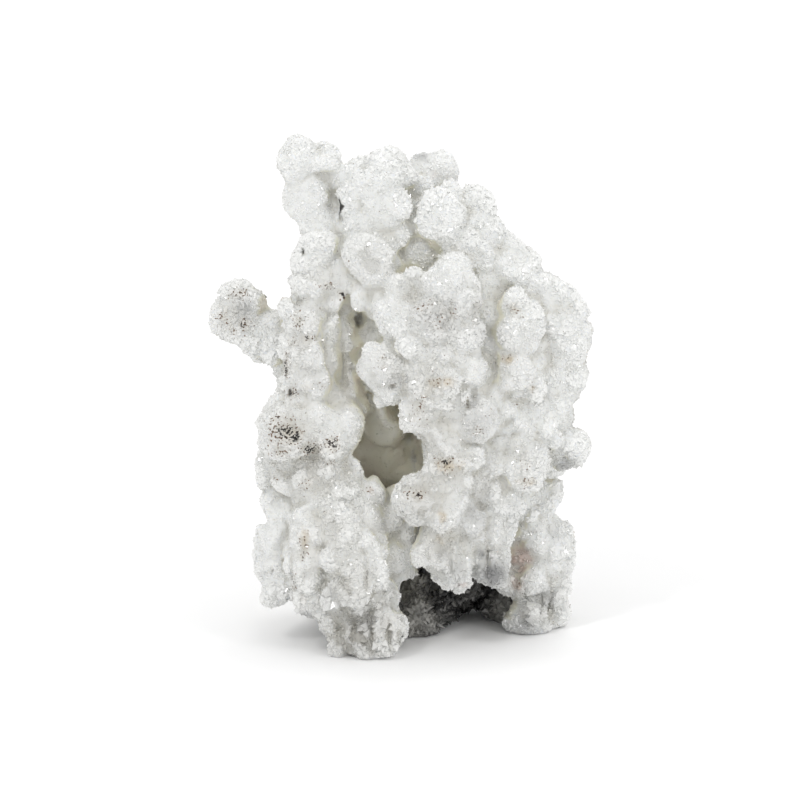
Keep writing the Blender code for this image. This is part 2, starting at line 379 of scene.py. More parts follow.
# Knobs that the picture shows, added to the crust: (across, up, half width, half height, proud),
# where proud is how far one stands out of the surface behind it.
shownKnobs = {
    "upper left finger": [
        (-27, 118.8, 4.4, 4.6, 0.4), (-19.5, 119.6, 4.2, 4.4, 0.4), (-17, 121.6, 2.2, 2.4, 0.7),
        (-14.9, 118.2, 1.5, 1.7, 0.9), (-15.6, 113, 2, 2.2, 0.75), (-23.5, 110, 5, 7.5, 0.5),
        (-20.4, 102.4, 4.4, 5, 0.4),
    ],
    "top column": [
        (-10.4, 117.8, 2.6, 2.8, 1), (-4.4, 118.4, 4.2, 4, 0.9), (-8, 112, 5.5, 5.2, 0.75),
        (-12.2, 108.2, 4.4, 4.6, 0.7), (-3, 108, 5, 5.2, 0.75), (0.6, 114.4, 2.8, 3.4, 0.9),
        (-9, 101.6, 5, 4.6, 0.7), (-1.6, 100.6, 4, 4.6, 0.75), (-13.4, 101.6, 3, 3.4, 0.6),
    ],
    "rear tip": [
        (5.6, 118.6, 2.6, 2.8, 0.55), (8.3, 118, 2.4, 3, 0.5), (8.8, 113.6, 5, 4.4, 0.4),
        (12.4, 110.4, 3, 2.8, 0.55),
    ],
    "right top": [
        (9.2, 105.2, 6, 6.2, 0.5), (18.6, 106.2, 5.8, 5.4, 0.5), (22, 100.6, 4.2, 4.8, 0.5),
        (14.5, 97.4, 5.4, 5, 0.35), (25.6, 98.2, 2.8, 2.8, 0.6), (19.5, 95, 4, 4.2, 0.35),
    ],
    "right slope": [
        (28.7, 96.2, 3, 2.8, 0.95), (32, 93.8, 3.2, 3, 0.95), (28.2, 90.8, 5, 4.6, 0.95),
        (36.4, 89, 2.4, 2.2, 0.95), (40.2, 86, 4.6, 4.2, 0.9), (44.4, 82, 3.4, 3.8, 0.9),
        (34.4, 86.6, 3.8, 3.6, 0.65), (24.4, 86.6, 3.4, 4, 0.65),
    ],
    "left shoulder": [
        (-20, 97.4, 5.6, 4.6, 1.1), (-24.2, 93.4, 2.6, 3.2, 1), (-15.6, 91.4, 4.4, 4.8, 0.85),
        (-22.4, 87.2, 3.6, 3.4, 1.1), (-10.2, 86, 2.8, 4.2, 0.95), (-17.4, 83.6, 3, 3.2, 0.75),
    ],
    "front knob": [(-7.2, 94, 6.2, 6.4, 1.2)],
    "left arm": [
        (-41, 84.6, 4.4, 4.4, 1.2), (-44.2, 79.2, 4, 4.2, 1.2), (-38.6, 79.4, 3, 3, 1),
        (-36, 73.6, 4.2, 3.8, 0.9), (-31, 71.4, 4, 4.4, 0.8), (-41.4, 75.8, 2.6, 2.4, 1),
    ],
    "left column": [
        (-25.2, 78.2, 4.2, 4.2, 1.4), (-23.9, 71.2, 4.8, 4, 1.4), (-23.9, 64.2, 4.6, 4.4, 1.3),
        (-28, 81.8, 2.4, 2.4, 1.1), (-26.4, 58.4, 3.2, 3, 1.1), (-20.6, 75, 2.2, 2.6, 0.8),
    ],
    "inner ribs": [
        (-16.8, 71, 2.4, 8, 0.9), (-12.2, 73.6, 2.8, 3, 1.3), (-12.4, 66, 2.4, 6.4, 0.8),
        (-15.6, 58, 1.7, 1.7, 1.2), (-14.6, 52.6, 5, 5, 0.9), (-10.6, 47, 3, 4.2, 1.1),
        (-12.8, 42.4, 3.4, 3, 0.8),
    ],
    "speckled knob": [
        (-28, 50.4, 7.4, 7.2, 1.6), (-17.2, 48.2, 4, 4, 1.4), (-21.6, 52.8, 4, 3.8, 0.9),
        (-30.6, 57.4, 3, 3, 1),
    ],
    "left waist": [
        (-33.2, 41.2, 3.8, 4, 1.2), (-24, 39.2, 4, 3.8, 1.3), (-15.2, 38.4, 4.8, 4.4, 1.4),
        (-7.2, 36.4, 4, 3.8, 1.5), (-29, 38, 2.6, 2.6, 1), (-11, 32.6, 3, 2.8, 1),
        (-20, 35.4, 3.2, 3, 1),
    ],
    "lobe left side": [
        (-31.4, 33.8, 3.2, 3.4, 1.2), (-33.6, 26.4, 2.4, 2.6, 1.2), (-30.8, 22.8, 3.6, 4.4, 1),
        (-34.6, 16, 1.8, 1.8, 1.4), (-31.2, 15.4, 3.2, 3.6, 0.9), (-31.4, 9.8, 3.4, 3.2, 1.2),
        (-28, 7.4, 3, 3, 0.8), (-28.6, 29.6, 2.4, 2.6, 1),
    ],
    "lobe slab": [
        (-25.6, 29.6, 1.5, 1.7, 1.4), (-23.6, 31.2, 1.3, 1.4, 1.4), (-21.6, 32.4, 1.4, 1.4, 1.4),
        (-18.2, 32.8, 2, 1.8, 1.4), (-24.8, 24, 2.6, 5.4, 1.4), (-22.8, 14.8, 2.8, 5.4, 1.2),
        (-20.4, 7.8, 3.4, 3.8, 1),
    ],
    "lobe front": [
        (-15.6, 27, 6, 5.6, 1.2), (-11.5, 13.4, 4.2, 6.6, 2), (-5.9, 16.4, 2, 5.8, 1.6),
        (-9, 24, 3.6, 4, 1), (-17.4, 18.6, 3.4, 4.4, 0.9), (-16.6, 9.4, 2.8, 3.4, 0.9),
    ],
    "lobe right side": [
        (-3.8, 30, 4, 4, 1.2), (-1.4, 20.6, 4, 4.8, 1.3), (0.6, 24, 2, 2, 1.1),
        (1.6, 19.6, 2, 2.2, 1.1), (0.4, 15.6, 2, 2, 1.1), (-2.4, 8.8, 3, 3.4, 1.1),
    ],
    "lobe foot": [(-5.6, -5, 1.2, 1.4, 1.6), (-17.4, 0, 2, 2.4, 0.8)],
    "column crown": [
        (10.8, 88, 5.4, 5.4, 1.2), (-0.8, 86.8, 4.2, 3.8, 1), (3.6, 89.6, 2.6, 2.8, 0.95),
        (10, 79.6, 7.2, 6.8, 1.2), (15.6, 84, 2.6, 3.4, 0.85), (-3.2, 82, 3.2, 3.4, 0.95),
        (0.4, 78, 3.6, 3.6, 0.85), (3.6, 72.4, 4, 4, 0.75), (13.8, 73.6, 3.4, 3.4, 0.85),
    ],
    "left nose": [
        (-4.3, 67.2, 5.2, 5.2, 1.5), (-5.4, 60, 2.6, 2.6, 1.1), (-6.4, 71, 2.2, 2.2, 1),
        (-1.2, 64, 3, 3, 0.7),
    ],
    "column middle": [
        (8.4, 62.2, 5.8, 5.6, 1.4), (17.1, 65.8, 3.8, 4, 1.4), (19, 54.2, 5.4, 5.4, 1.5),
        (6.2, 53.4, 4.2, 4.4, 1.2), (12.4, 51.4, 3.4, 3.4, 1), (14.6, 60.2, 3, 3, 1),
        (2.4, 57.4, 2.6, 3, 1), (9.4, 69.8, 3.4, 3, 0.8),
    ],
    "stained knob": [
        (11.8, 43.2, 5.6, 5, 1.4), (4.8, 35.4, 5.4, 6, 1.6), (17.2, 45, 3.4, 3.4, 1),
        (16, 38.6, 2.6, 2.6, 1.2), (10.6, 36, 3, 3.2, 1),
    ],
    "column lower": [
        (11.2, 29.4, 4, 4.6, 1.1), (18.9, 29.2, 3.4, 3.4, 1.3), (5.9, 21.2, 4, 3.8, 1.4),
        (10.2, 23.6, 3.4, 3.6, 1.1), (16, 22.8, 3.2, 3.2, 1),
    ],
    "column tail": [
        (27.8, 33.4, 2.8, 3.8, 1.3), (26.6, 26.4, 2.4, 4, 1.3), (22.4, 35.6, 3, 3.6, 1),
        (23.2, 14.6, 2, 2.6, 1.2),
    ],
    "right ribs": [
        (30.6, 76.4, 6.2, 6.4, 1.2), (28.2, 66.8, 5, 5, 1.1), (33.6, 62.6, 3, 3.8, 0.8),
        (24.6, 62.4, 2.6, 3, 1.1), (28.6, 82.4, 4, 3.6, 0.9), (31.6, 56.6, 4, 3.8, 0.8),
        (25.8, 57.6, 2.8, 3, 0.7),
    ],
    "right mass": [
        (40, 78.6, 5, 5.4, 0.5), (42.6, 70.6, 4.6, 5, 0.55), (38.8, 64.6, 4.6, 4.8, 0.55),
        (38.9, 57.4, 4.4, 4.4, 0.6), (35, 52.2, 3.6, 3.6, 0.55), (45.6, 76, 2.2, 2.6, 0.6),
        (44.2, 64.6, 2.6, 2.8, 0.55),
    ],
    "round knob": [
        (31.4, 42.4, 6, 6.4, 1.5), (39.8, 43.2, 2.4, 2.8, 1.2), (38.4, 49.6, 2.8, 3, 1),
        (25.6, 46.6, 3, 3.6, 1),
    ],
    "right leg": [
        (36.8, 34, 4, 4.6, 1), (38.4, 23, 4, 4.4, 1.2), (32.9, 13, 2.4, 2.8, 1.5),
        (32.2, 8.6, 2.4, 2.6, 1.4), (28.8, 5.4, 2, 2, 1.2), (38.9, 6.6, 4, 4.4, 1.2),
        (32.6, 26, 2.8, 3.6, 0.9), (40.8, 14.4, 2.2, 2.4, 1.1), (36.6, 2.4, 3, 2.6, 1),
        (34.8, 18.4, 3, 3, 0.9),
    ],
    "cave knob": [(-5, 52.4, 4, 4.6, 1.2)],
}

# Ridges and blades: (across, up) of one end and of the other, half width, proud.
shownRidges = [
    (-19.4, 5, -15, -4.6, 1.8, 1.1), (-14.8, 6, -8.8, -4.8, 1.7, 1.4),
    (-10.4, 7, -6.2, -3.4, 2, 1.7), (-6, 8, -2.6, -3.6, 1.7, 2.2), (-2.8, 7.4, 0.4, -1.6, 1.5, 2.2),
    (-20.6, 9, -18.4, 2, 1.4, 1), (-8.6, -3.4, -4.6, -5.4, 1.3, 1.8), (-27.2, 27, -24.6, 8, 1, 1.3),
    (-6.2, 22, -5.2, 10.6, 1.3, 1.5), (-32.6, 31, -31.4, 14, 1.5, 0.9),
    (10.4, 22, 12.8, 13.6, 1.3, 1.2), (13.8, 22, 15.4, 12.4, 1.3, 1.4),
    (16.6, 21, 17.2, 13.8, 1.1, 1.2), (20.2, 26, 21.4, 16, 1.4, 1.3),
    (23.6, 25, 24.8, 14.6, 1.5, 1.4), (29, 36, 26, 22, 1.4, 1.4), (18.4, 27, 18.8, 19.4, 1.1, 1),
    (-16.6, 79, -16.8, 62, 1.6, 1), (-12.6, 78, -12.6, 60, 1.5, 0.9),
    (33.4, 30, 32.4, 16, 1.6, 0.9), (40.4, 34, 41.6, 12, 1.8, 0.8), (35.8, 12, 37, 2, 1.5, 1.1),
    (40, 11, 40.4, 3, 1.5, 1.1), (31.2, 12, 29.4, 3.6, 1.3, 1.1),
]

# Balls that make hollows and gaps shallower: (across, up, near, radius), near from the middle.
hollowFloors = [
    (5.4, 96, 6.6, 7.6), (3.6, 104, 9, 6.4), (3.6, 111.4, 7, 5), (20, 88, 8, 7), (20, 80, 9, 6.4),
    (21.6, 73, 9.5, 5.4), (-2.4, 44, -15, 10), (29.4, 20.6, -13, 6), (28.6, 13.4, -13, 4.6),
    (29.8, 28, -11.4, 6.6), (2.2, 27.6, 3, 4), (2, 22, 2, 4), (1.2, 32.2, 3.4, 4),
    (1.8, 17, 0, 3.2), (-2, 33.4, 2.6, 4.4),
]

crustShape = {
    "coreCell": 0.9,  # net of the shape inside the knobs
    "coreRounding": 4,
    "sink": 0.95,  # how far that shape is drawn in, so that the knobs keep the size
    "sinkFrom": (0.3, 3),  # heights between which the sinking sets in, for flat feet
    "fullKnob": 7.5,  # half width and half height together, below which less proud
    "knobDeep": (2.4, 0.55),  # a knob's half depth: in prouds, and at least in half widths
    "ridgeStep": 0.8,  # from one ball of a ridge to the next, in half widths
    "ridgeWaves": (0.22, 9),  # how much and how often a ridge's width goes up and down
    "ridgeTall": 1.3,  # height of a ridge's balls, in half widths
    "growFrom": 3.5,  # height above which the knobs from noise grow
    "turnedAway": 0.35,  # they grow where the normal's share towards the viewer is less
    "hiddenKnobs": {"spacing": 7.5, "radius": (3.4, 6), "proud": (0.8, 1.5), "seed": 12},
    "nodules": {"spacing": 3.4, "radius": (1.6, 3.6), "proud": (-0.3, 0.35), "seed": 14},
    "noduleInset": 0.3,
    "uneven": (0.72, 1.25),  # half sizes of those balls, in radii
    "knobDetail": 3,  # steps of a ball's net
    "noduleDetail": 2,
    "wander": [(6.5, 1.6, 60), (2.6, 0.6, 70)],  # spacing, reach and seed of the irregularity
    "wanderFrom": (0.3, 4),
    "cell": 0.62,  # net of the finished skin
    "rounding": 3,
    "chips": [(3.1, 0.3, 8), (1.6, 0.16, 9)],  # spacing, height and seed of the flat chips
    "chipPatches": (0.25, 1.3, 4),  # least strength, what noise adds, its spacing in chips
    "chipsFrom": (0.05, 1.2),
    "triangles": 198000,  # a piece stays under 200,000
    "shelterSamples": 2400,
    "edgeRounds": 24,
    "hidden": (-0.15, 0.35),  # shares towards the viewer between which hidden marks fade
}


def ballsMesh(middles, halves, axes, detail):
    # A unit ball's corners for each place, stretched by its three half sizes along three axes.
    bm = bmesh.new()
    bmesh.ops.create_icosphere(bm, subdivisions=detail, radius=1)
    corners = np.array([vert.co for vert in bm.verts])
    faces = np.array([[vert.index for vert in face.verts] for face in bm.faces])
    bm.free()
    spread = (corners[None] * halves[:, None]) @ axes * mm
    points = middles[:, None] + spread
    triangles = faces[None] + (np.arange(len(middles)) * len(corners))[:, None, None]
    return points.reshape(-1, 3), triangles.reshape(-1, 3)


def shownRows():
    # The knobs, the small ones less proud, and each ridge as a row of balls of uneven width.
    rows = []
    for group in shownKnobs.values():
        for across, up, wide, high, proud in group:
            less = min(1, (wide + high) / crustShape["fullKnob"])
            rows.append((across, up, wide, high, proud * less))
    swell, often = crustShape["ridgeWaves"]
    for across, up, lastAcross, lastUp, half, proud in shownRidges:
        run, rise = lastAcross - across, lastUp - up
        count = 2 + int(math.hypot(run, rise) / (crustShape["ridgeStep"] * half))
        for part in np.linspace(0, 1, count):
            wide = half * (1 + swell * math.sin(often * part + across))
            high = wide * crustShape["ridgeTall"]
            rows.append((across + run * part, up + rise * part, wide, high, proud))
    return rows


def shownBalls(seen):
    # Each listed knob as a flattened ball whose front is proud of the surface that shows there.
    places, halves = [], []
    inProuds, inWidths = crustShape["knobDeep"]
    for across, up, wide, high, proud in shownRows():
        front = frontAt(seen, across, up)
        if front is not None:
            deep = max(inProuds * proud, inWidths * min(wide, high))
            places.append((across, up, front + proud - deep))
            halves.append((wide, deep, high))
    for across, up, near, radius in hollowFloors:
        places.append((across, up, near))
        halves.append((radius, radius, radius))
    across, up, near = np.array(places, float).T
    axes = np.array([rightWay, -nearWay, upWay])
    return seenAt(across, up, near), np.array(halves, float), axes


def spreadBalls(points, normals, keep, choice):
    # One ball in each cell of a lattice that the surface passes through, sunk into the surface
    # until only its cap is proud.
    rng = np.random.default_rng(choice["seed"])
    chosen = rng.permutation(np.flatnonzero(keep))
    cell = np.floor(points[chosen] / (choice["spacing"] * mm)).astype(int)
    _, first = np.unique(cell, axis=0, return_index=True)
    chosen = chosen[first]
    radius = rng.uniform(*choice["radius"], len(chosen))
    proud = rng.uniform(*choice["proud"], len(chosen))
    middles = points[chosen] - normals[chosen] * ((radius - proud) * mm)[:, None]
    halves = radius[:, None] * rng.uniform(*crustShape["uneven"], (len(chosen), 3))
    return middles, halves, np.eye(3)


def crustSkin():
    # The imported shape, drawn in a little, with every knob and nodule fused to it.
    core = netted(nodeMesh("aragonite_crust"), crustShape["coreCell"], crustShape["coreRounding"])
    points, normals = vertexArrays(core)
    sinking = crustShape["sink"] * eased(points[:, 2] / mm, *crustShape["sinkFrom"])
    inner = points - normals * sinking[:, None] * mm
    high = points[:, 2] > crustShape["growFrom"] * mm
    hidden = high & (normals @ nearWay < crustShape["turnedAway"])
    inset = points - normals * crustShape["noduleInset"] * mm
    knobs = spreadBalls(inner, normals, hidden, crustShape["hiddenKnobs"])
    nodules = spreadBalls(inset, normals, high, crustShape["nodules"])
    shells = [
        (inner, triangleArray(core)),
        ballsMesh(*shownBalls(asSeen(inner)), crustShape["knobDetail"]),
        ballsMesh(*knobs, crustShape["knobDetail"]),
        ballsMesh(*nodules, crustShape["noduleDetail"]),
    ]
    starts = np.cumsum([0] + [len(shell[0]) for shell in shells])
    allPoints = np.concatenate([shell[0] for shell in shells])
    for spacing, reach, seed in crustShape["wander"]:
        far = reach * mm * eased(allPoints[:, 2:] / mm, *crustShape["wanderFrom"])
        allPoints += wander(allPoints, spacing, seed) * far
    allTriangles = np.concatenate([shell[1] + start for shell, start in zip(shells, starts)])
    knobbed = meshFrom("knobs", allPoints, allTriangles)
    return netted(knobbed, crustShape["cell"], crustShape["rounding"])


# Pits and cracks: (across, up, half width, half height, depth).
crustPits = [
    (-15.7, 107.2, 1, 1.5, 6), (-14.8, 104.4, 0.7, 1.4, 1.2), (-24.2, 96.2, 0.4, 1.1, 1.6),
    (-28.5, 67, 0.4, 2.6, 1.6), (-27.4, 60.8, 0.6, 1.3, 1.6), (-2, 62.4, 1, 0.5, 1.4),
    (-27.9, 51, 0.6, 0.6, 1.2), (-26, 49, 0.5, 0.7, 1.2), (34.7, 9.7, 0.8, 1.1, 1.8),
    (-31.8, 16.4, 0.4, 0.6, 1.2), (16.9, 58, 0.5, 1.2, 1), (24.6, 69.4, 0.4, 0.4, 0.8),
    (-9.4, 31.2, 0.5, 0.6, 0.8), (20.6, 20.4, 0.5, 0.5, 1), (18.6, 35.4, 0.8, 0.5, 0.8),
]


# Grooves between blades, listed in the same way, which aren't darkened.
crustGrooves = [
    (-6.8, 1.4, 0.7, 3.6, 1.8), (-2.7, 0.6, 0.7, 3, 2), (-11.6, 1.6, 0.7, 3, 1.4),
    (-15.6, 1.6, 0.7, 3, 1.2), (0.9, -1, 1.6, 2.6, 3), (-8.4, 14, 0.7, 6, 1.6),
    (-27.2, 16, 0.6, 8, 1.2), (12.6, 17.6, 0.6, 3.4, 1.2), (22, 20, 0.6, 4, 1.4),
    (18.6, 19, 0.6, 3, 1.2), (35.4, 7, 0.7, 4, 1.4), (-14.4, 68, 0.6, 8, 1.2),
]


pitShape = {
    "ragged": (0.4, 1.3, 0.9, 33),  # least, what noise adds, its spacing and its seed
    "reach": 3,  # how far behind the foremost surface a pit still goes
    "black": 2,  # depth at which a pit is fully painted black: painted shade in the pits
}


def listedPlaces(seen, places):
    # Each listed place that the surface passes: how near it is there, how far every point lies
    # from it in its half sizes, squared, and the last value of its row.
    for across, up, wide, high, value in places:
        front = frontAt(seen, across, up)
        if front is not None:
            away = ((seen[:, 0] - across) / wide) ** 2 + ((seen[:, 1] - up) / high) ** 2
            yield front, away, value


def pitField(points, pits):
    # How deep the pits go at each point: a ragged bell in across and up, on the foremost surface.
    seen = asSeen(points)
    least, more, spacing, seed = pitShape["ragged"]
    ragged = least + more * clouds(points, spacing, seed)
    depth = np.zeros(len(seen))
    for front, away, deep in listedPlaces(seen, pits):
        there = seen[:, 2] > front - pitShape["reach"]
        depth = np.maximum(depth, deep * np.exp(-away * ragged) * there)
    return depth


# Marks on the surface: (across, up, half width, half height, strength).
crustMarks = {
    "speck": [  # clusters of black and brown specks
        (-40.6, 85.6, 3, 2.6, 0.8), (-44.4, 79.4, 3.4, 3, 0.7), (-38.6, 78, 2.6, 2.4, 1),
        (-42, 76, 3, 2, 0.7), (-25.4, 79.4, 2, 3.4, 1), (-23, 74.6, 2.6, 1.4, 1.05),
        (-26.8, 73.4, 1.6, 1.8, 0.8), (-28.4, 67, 1, 4.4, 1.2), (-27, 60.6, 2, 2.6, 1),
        (-18.4, 87.4, 2.4, 1.8, 1), (-14.6, 85.2, 2.2, 1.8, 0.95), (-19.4, 81.6, 2, 1.6, 0.7),
        (-28.4, 51.4, 5.4, 4.8, 1.08), (-26.8, 49.4, 2.8, 2.2, 1.4), (-22, 46.8, 3.4, 2.4, 1.3),
        (-17, 48, 2.6, 2.4, 1.15), (-30.6, 54, 2.4, 2, 0.9), (-30, 46, 4, 2.4, 0.8),
        (-17.4, 43, 2.4, 1.4, 0.8), (-23.6, 38, 2.4, 2.4, 0.75), (-31, 39.6, 2.6, 1.4, 0.7),
        (-24.6, 44, 3.4, 1.2, 0.8), (-19.6, 62.8, 3, 1, 0.7), (-4, 69.6, 2, 1.2, 0.85),
        (-4.8, 67.2, 1.4, 0.8, 0.7), (-1.8, 62.6, 1.8, 1, 1), (8.4, 63.6, 4.4, 1.6, 0.8),
        (5, 58, 2.4, 3.4, 0.75), (4.6, 54, 2.4, 3, 0.7), (11.6, 43.6, 3.6, 1.6, 1),
        (12.4, 41.2, 2.4, 1.2, 0.8), (4.4, 35.4, 3.4, 2.2, 0.9), (1.8, 35.4, 0.7, 1, 1.1),
        (-7.6, 36.6, 1.6, 0.8, 1), (-24, 22.4, 1.4, 3.6, 0.95), (-24.4, 19.6, 0.8, 1.2, 1.1),
        (10.6, 29, 1.6, 1.4, 0.75), (12.6, 26, 1, 1.2, 0.7), (5.4, 82.4, 4.4, 3, 0.7),
        (12, 80, 4, 4, 0.65), (9.2, 77, 3, 3, 0.65), (1.6, 78, 1.4, 1, 0.8),
        (28.4, 82, 2, 2.6, 0.75), (29.8, 79.6, 1.6, 0.8, 0.9), (26.6, 69.6, 2.2, 1.2, 0.95),
        (24.4, 67.6, 1, 1, 0.9), (16.9, 58.4, 0.9, 2.2, 0.9), (22.6, 56.6, 2, 1.6, 0.6),
        (19.8, 51, 3, 2.4, 0.65), (31.6, 38.6, 3, 1.8, 0.85), (30.6, 43, 3, 3, 0.6),
        (33.2, 61.8, 0.8, 1.6, 0.8), (29, 58, 0.8, 0.8, 0.8), (-18.4, 31, 1.4, 1, 0.8),
        (-16.4, 20, 2, 1.4, 0.6), (-26.4, 12.4, 0.8, 5, 0.7), (38.4, 3.2, 1.2, 1, 0.8),
        (29.6, 12.4, 1.6, 2, 0.75), (4.6, 109.4, 0.5, 0.5, 1.4), (-12.8, 93.6, 0.8, 0.6, 0.8),
        (-19.6, 92, 1.4, 0.8, 0.7), (-12, 87.6, 0.8, 0.6, 1), (-10.6, 68, 3, 4, 0.5),
        (2, 42, 3, 4, 0.6),
    ],
    "stain": [  # beige
        (10.4, 63.4, 4.6, 2, 0.8), (6, 60.4, 2.4, 1.6, 0.5), (12.4, 42.6, 4.4, 2, 1),
        (10.3, 29.6, 1.8, 2.4, 0.9), (10.1, 24, 1.6, 1.8, 0.8), (-24, 24, 1.8, 4.4, 0.9),
        (27, 69, 2.6, 1.8, 0.9), (33.2, 61.8, 1.4, 2, 0.7), (29, 81.4, 3, 3, 0.5),
        (-27, 50.4, 6.4, 4.6, 0.45), (-43, 80, 4, 5, 0.4), (-24, 62, 4, 2, 0.45),
        (-25, 76, 3, 5, 0.3), (5, 35, 3.4, 2.6, 0.45), (31.6, 38.4, 3.4, 1.6, 0.7),
        (3.6, 55, 2.6, 4, 0.4), (-22.6, 38.6, 3, 2.6, 0.45), (-20.6, 34.6, 2, 1, 0.5),
        (15.4, 67.6, 1.4, 2, 0.35), (-17, 47, 3, 2.6, 0.4), (4, 77.6, 1.4, 1.2, 0.5),
        (-21, 12, 3, 3, 0.3), (38.4, 3.2, 1.6, 1, 0.6),
    ],
    "rose": [  # pink and red-brown
        (8.5, 115.5, 2.4, 1.6, 0.5), (4.6, 109.4, 0.6, 0.6, 1), (30.2, 19.6, 3.6, 5, 1),
        (29, 13, 2.4, 3, 0.7), (-7.4, 36.6, 1.4, 0.9, 0.8), (15.6, 12.8, 3, 1.2, 0.5),
        (-4.2, 67.2, 1, 0.8, 0.5), (-24.4, 9, 2, 4, 0.35), (31, 5.6, 1.6, 2, 0.5),
        (-34.8, 15.6, 1.2, 1, 0.4), (5.4, 57, 2.4, 5, 0.3),
    ],
    # the crystal's own duller patches, and painted shade in the recesses, pockets and low down
    "dullAndShade": [  # less white than the rest
        (9, 62, 10, 8, 0.55), (7, 52, 8, 8, 0.55), (12, 42, 8, 6, 0.75), (5, 34, 7, 8, 0.85),
        (10, 22, 7, 8, 0.75), (20, 54, 6, 7, 0.45), (10, 79, 8, 8, 0.35), (-7, 94, 7, 7, 0.45),
        (4, 88, 10, 5, 0.3), (-28, 50, 9, 8, 0.65), (20, 82, 3, 7, 0.6), (29.6, 18, 4, 9, 0.8),
        (-12.4, 64, 4.4, 14, 0.8), (-3, 2, 5, 6, 0.9), (-22, 40, 14, 6, 0.6), (-4, 8, 4, 6, 0.6),
        (-11, 76, 3, 6, 0.6), (-16, 27, 9, 9, 0.45), (-12, 13, 7, 9, 0.75), (-24, 18, 5, 12, 0.4),
        (-4, 28, 5, 8, 0.3), (-4, 66, 6, 7, 0.45), (20, 38, 8, 10, 0.4), (-24, 72, 6, 14, 0.4),
        (-42, 81, 6, 7, 0.35), (27, 68, 8, 10, 0.3), (31, 43, 6, 7, 0.4), (22, 22, 7, 8, 0.4),
        (-12, 0, 12, 8, 0.9), (35, 7, 6, 6, 0.4), (-20, 86, 8, 6, 0.3),
    ],
    "smokeAndShade": [  # grey: painted shade on the undersides and in the dark gaps low down, and greyer patches of crystal
        (22.6, 75.4, 3.4, 4, 0.3), (9.6, 79.6, 6.6, 6, 0.2), (19, 53.6, 4.4, 4.4, 0.22),
        (18.6, 59, 1.4, 2.6, 0.35), (19.6, 30, 4.6, 5, 0.3), (23.4, 15.4, 3.8, 3.4, 0.95),
        (20.4, 20.4, 1.4, 1.4, 0.7), (14.4, 15.6, 3.6, 3.6, 0.3), (-12, -2.6, 6, 3, 0.28),
        (-9.6, 3.4, 4, 3.4, 0.3), (-24, 4.4, 2.4, 2, 0.8), (41.4, 42.6, 2.4, 2.2, 0.5),
        (36, 9.6, 3, 2.6, 0.5), (31, 2, 4, 2.6, 0.5), (-28, 11, 3, 3, 0.15), (-17, 9, 5, 5, 0.2),
        (34.4, 47.6, 3, 2.4, 0.12), (-1, 63.6, 3, 2, 0.22), (-39, 81.6, 2.4, 3.6, 0.35),
        (28.6, 30, 2.4, 5, 0.15), (10.6, 20.6, 2.4, 2.4, 0.22), (3.6, 29, 4, 4, 0.1),
        (38.6, 26, 3, 3, 0.12), (-1.4, 10, 2, 4, 0.25), (-20.6, 65, 4, 6, 0.1),
        (5.4, 120, 2, 1.6, 0.4),
    ],
    "blades": [  # larger, longer crystals
        (-10, 0, 9, 5, 1), (-3, 1.4, 5, 6, 1), (14.4, 15.6, 5, 4.6, 0.9), (23.4, 18, 4.4, 5, 1),
        (-20, 8, 5, 4, 0.6), (34, 6, 6, 6, 0.7), (-31, 11, 4, 4, 0.5), (13, 57, 9, 8, 0.3),
        (31, 18, 3, 6, 0.7), (-2, 8, 3, 5, 0.7), (41, 66, 4, 6, 0.4), (-15, 34, 4, 2, 0.5),
    ],
}


# Marks on the sides and the back, from noise: spacing, the noise values between which one sets
# in, its strength and its seed.
hiddenMarks = {
    "speck": (11, 0.58, 0.86, 0.95, 81),
    "stain": (9, 0.6, 0.85, 0.7, 82),
    "rose": (13, 0.65, 0.9, 0.5, 83),
    "dullAndShade": (15, 0.3, 0.7, 0.75, 84),
    "smokeAndShade": (10, 0.6, 0.9, 0.35, 85),
    "blades": (12, 0.5, 0.8, 0.6, 86),
}


def markField(seen, marks, depth=7):
    # Strongest of the marks at each point: a bell in across and up round each place, and in
    # nearness round the foremost surface found there.
    field = np.zeros(len(seen))
    for front, away, strength in listedPlaces(seen, marks):
        away = away + ((seen[:, 2] - front) / depth) ** 2
        field = np.maximum(field, strength * np.exp(-away))
    return field


def crustFields(mesh, samples):
    # The listed marks, the hidden ones from noise where the skin turns from the viewer, the
    # pits, how sheltered a point is, and how far it stands out.
    points, normals = vertexArrays(mesh)
    seen = asSeen(points)
    fields = {name: markField(seen, marks) for name, marks in crustMarks.items()}
    away = 1 - eased(normals @ nearWay, *crustShape["hidden"])
    for name, (spacing, low, high, strength, seed) in hiddenMarks.items():
        patches = strength * away * eased(roughClouds(points, spacing, seed), low, high)
        fields[name] = np.maximum(fields[name], patches)
    black = pitShape["black"]
    before = points + nearWay * black * mm  # about where the pit's floor was
    fields["pit"] = np.clip(pitField(before, crustPits) / black, 0, 1)
    fields["hollow"] = shelter(points + normals * mm, normals, samples)
    fields["edge"] = bulge(points, normals, triangleArray(mesh), crustShape["edgeRounds"])
    return fields


def buildCrust(material):
    # A point of the skin moves along its normal by the chips, and then away from the viewer by
    # the pits.
    mesh = crustSkin()
    points, normals = vertexArrays(mesh)
    samples = faceSamples(thinned(nodeMesh("aragonite_crust"), crustShape["shelterSamples"]))
    rise = np.zeros(len(points))
    least, more, wider = crustShape["chipPatches"]
    for spacing, height, seed in crustShape["chips"]:
        strength = least + more * clouds(points, spacing * wider, seed + 20)
        rise += height * strength * chips(points, spacing, seed)
    rise *= eased(points[:, 2] / mm, *crustShape["chipsFrom"])
    pits = pitField(points, crustPits) + pitField(points, crustGrooves)
    points = points + (normals * rise[:, None] - nearWay * pits[:, None]) * mm
    points[:, 2] = np.maximum(points[:, 2], 0)
    skin = meshFrom("skin", *outerShell(points, triangleArray(mesh)))
    mesh = thinned(skin, crustShape["triangles"])
    mesh.shade_smooth()
    fields = crustFields(mesh, samples)
    setFields(mesh, fields)
    piece = newPiece("aragoniteBody", mesh, material)
    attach(piece, "root")
    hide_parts("aragonite_crust")
    print("crust:", len(triangleArray(mesh)), "triangles")
    return piece, fields


